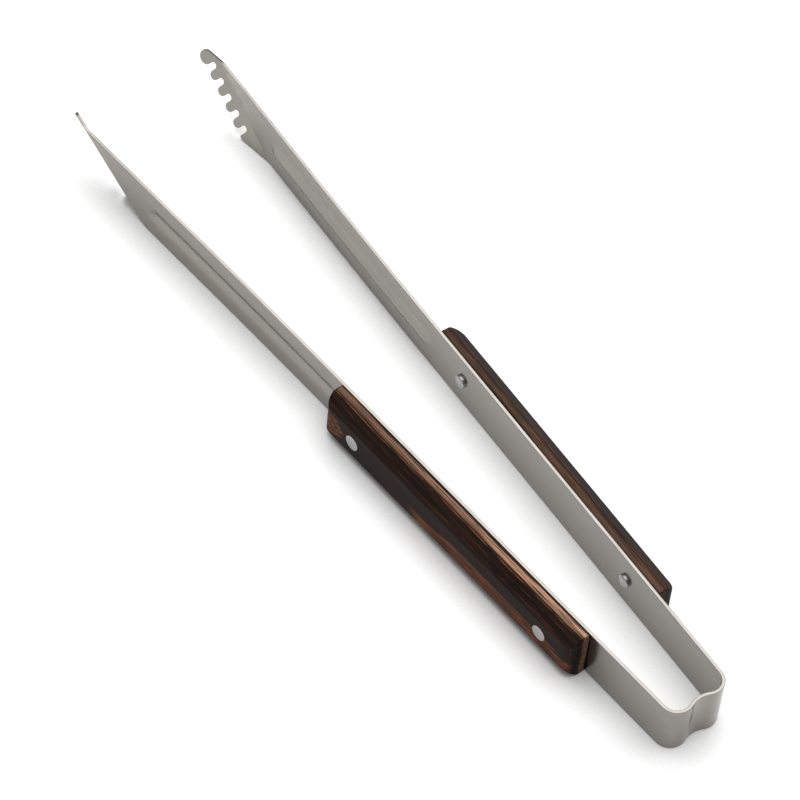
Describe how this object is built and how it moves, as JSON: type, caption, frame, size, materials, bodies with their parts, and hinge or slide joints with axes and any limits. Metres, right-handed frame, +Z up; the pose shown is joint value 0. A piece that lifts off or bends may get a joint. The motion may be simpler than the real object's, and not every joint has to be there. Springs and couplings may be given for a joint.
{
  "type": "spring loaded kitchen tongs",
  "caption": "Long one-piece steel tongs: a bent spring bow, two arms with laminated wood grips and folded toothed jaws that close when squeezed.",
  "frame": {"origin": "centre of the bounding box in X and Y, on the plane of the strip's bottom edge", "axes": "+X from the jaws to the bow, along the tongs; +Y from the left arm to the right arm; +Z up across the strip's width"},
  "size_m": [0.3964, 0.0738, 0.0257],
  "materials": {
    "strip_steel": "fine lengthwise brushing, satin",
    "laminated_wood": "dark resin-laminated veneer with thin copper coloured glue lines, satin",
    "rivet_metal": "satin, flush sanded"
  },
  "bodies": {
    "bow": {"spring_bow": "strip_steel"},
    "left_arm": {"left_blade": "strip_steel", "left_grip_scale": "laminated_wood", "left_rear_rivet": "rivet_metal", "left_front_rivet": "rivet_metal"},
    "right_arm": {"right_blade": "strip_steel", "right_grip_scale": "laminated_wood", "right_rear_rivet": "rivet_metal", "right_front_rivet": "rivet_metal"}
  },
  "joints": [
    {"name": "left_arm_flex", "type": "hinge", "parent": "bow", "child": "left_arm", "pos_m": [0.18776, -0.0148, 0.0127], "axis": [0, 0, -1], "range_deg": [0, 4.65], "stiffness_Nm_per_rad": 18},
    {"name": "right_arm_flex", "type": "hinge", "parent": "bow", "child": "right_arm", "pos_m": [0.18776, 0.0148, 0.0127], "axis": [0, 0, 1], "range_deg": [0, 4.65], "stiffness_Nm_per_rad": 18}
  ],
  "couplings": [
    {"joint": "right_arm_flex", "follows": "left_arm_flex", "ratio": 1}
  ]
}
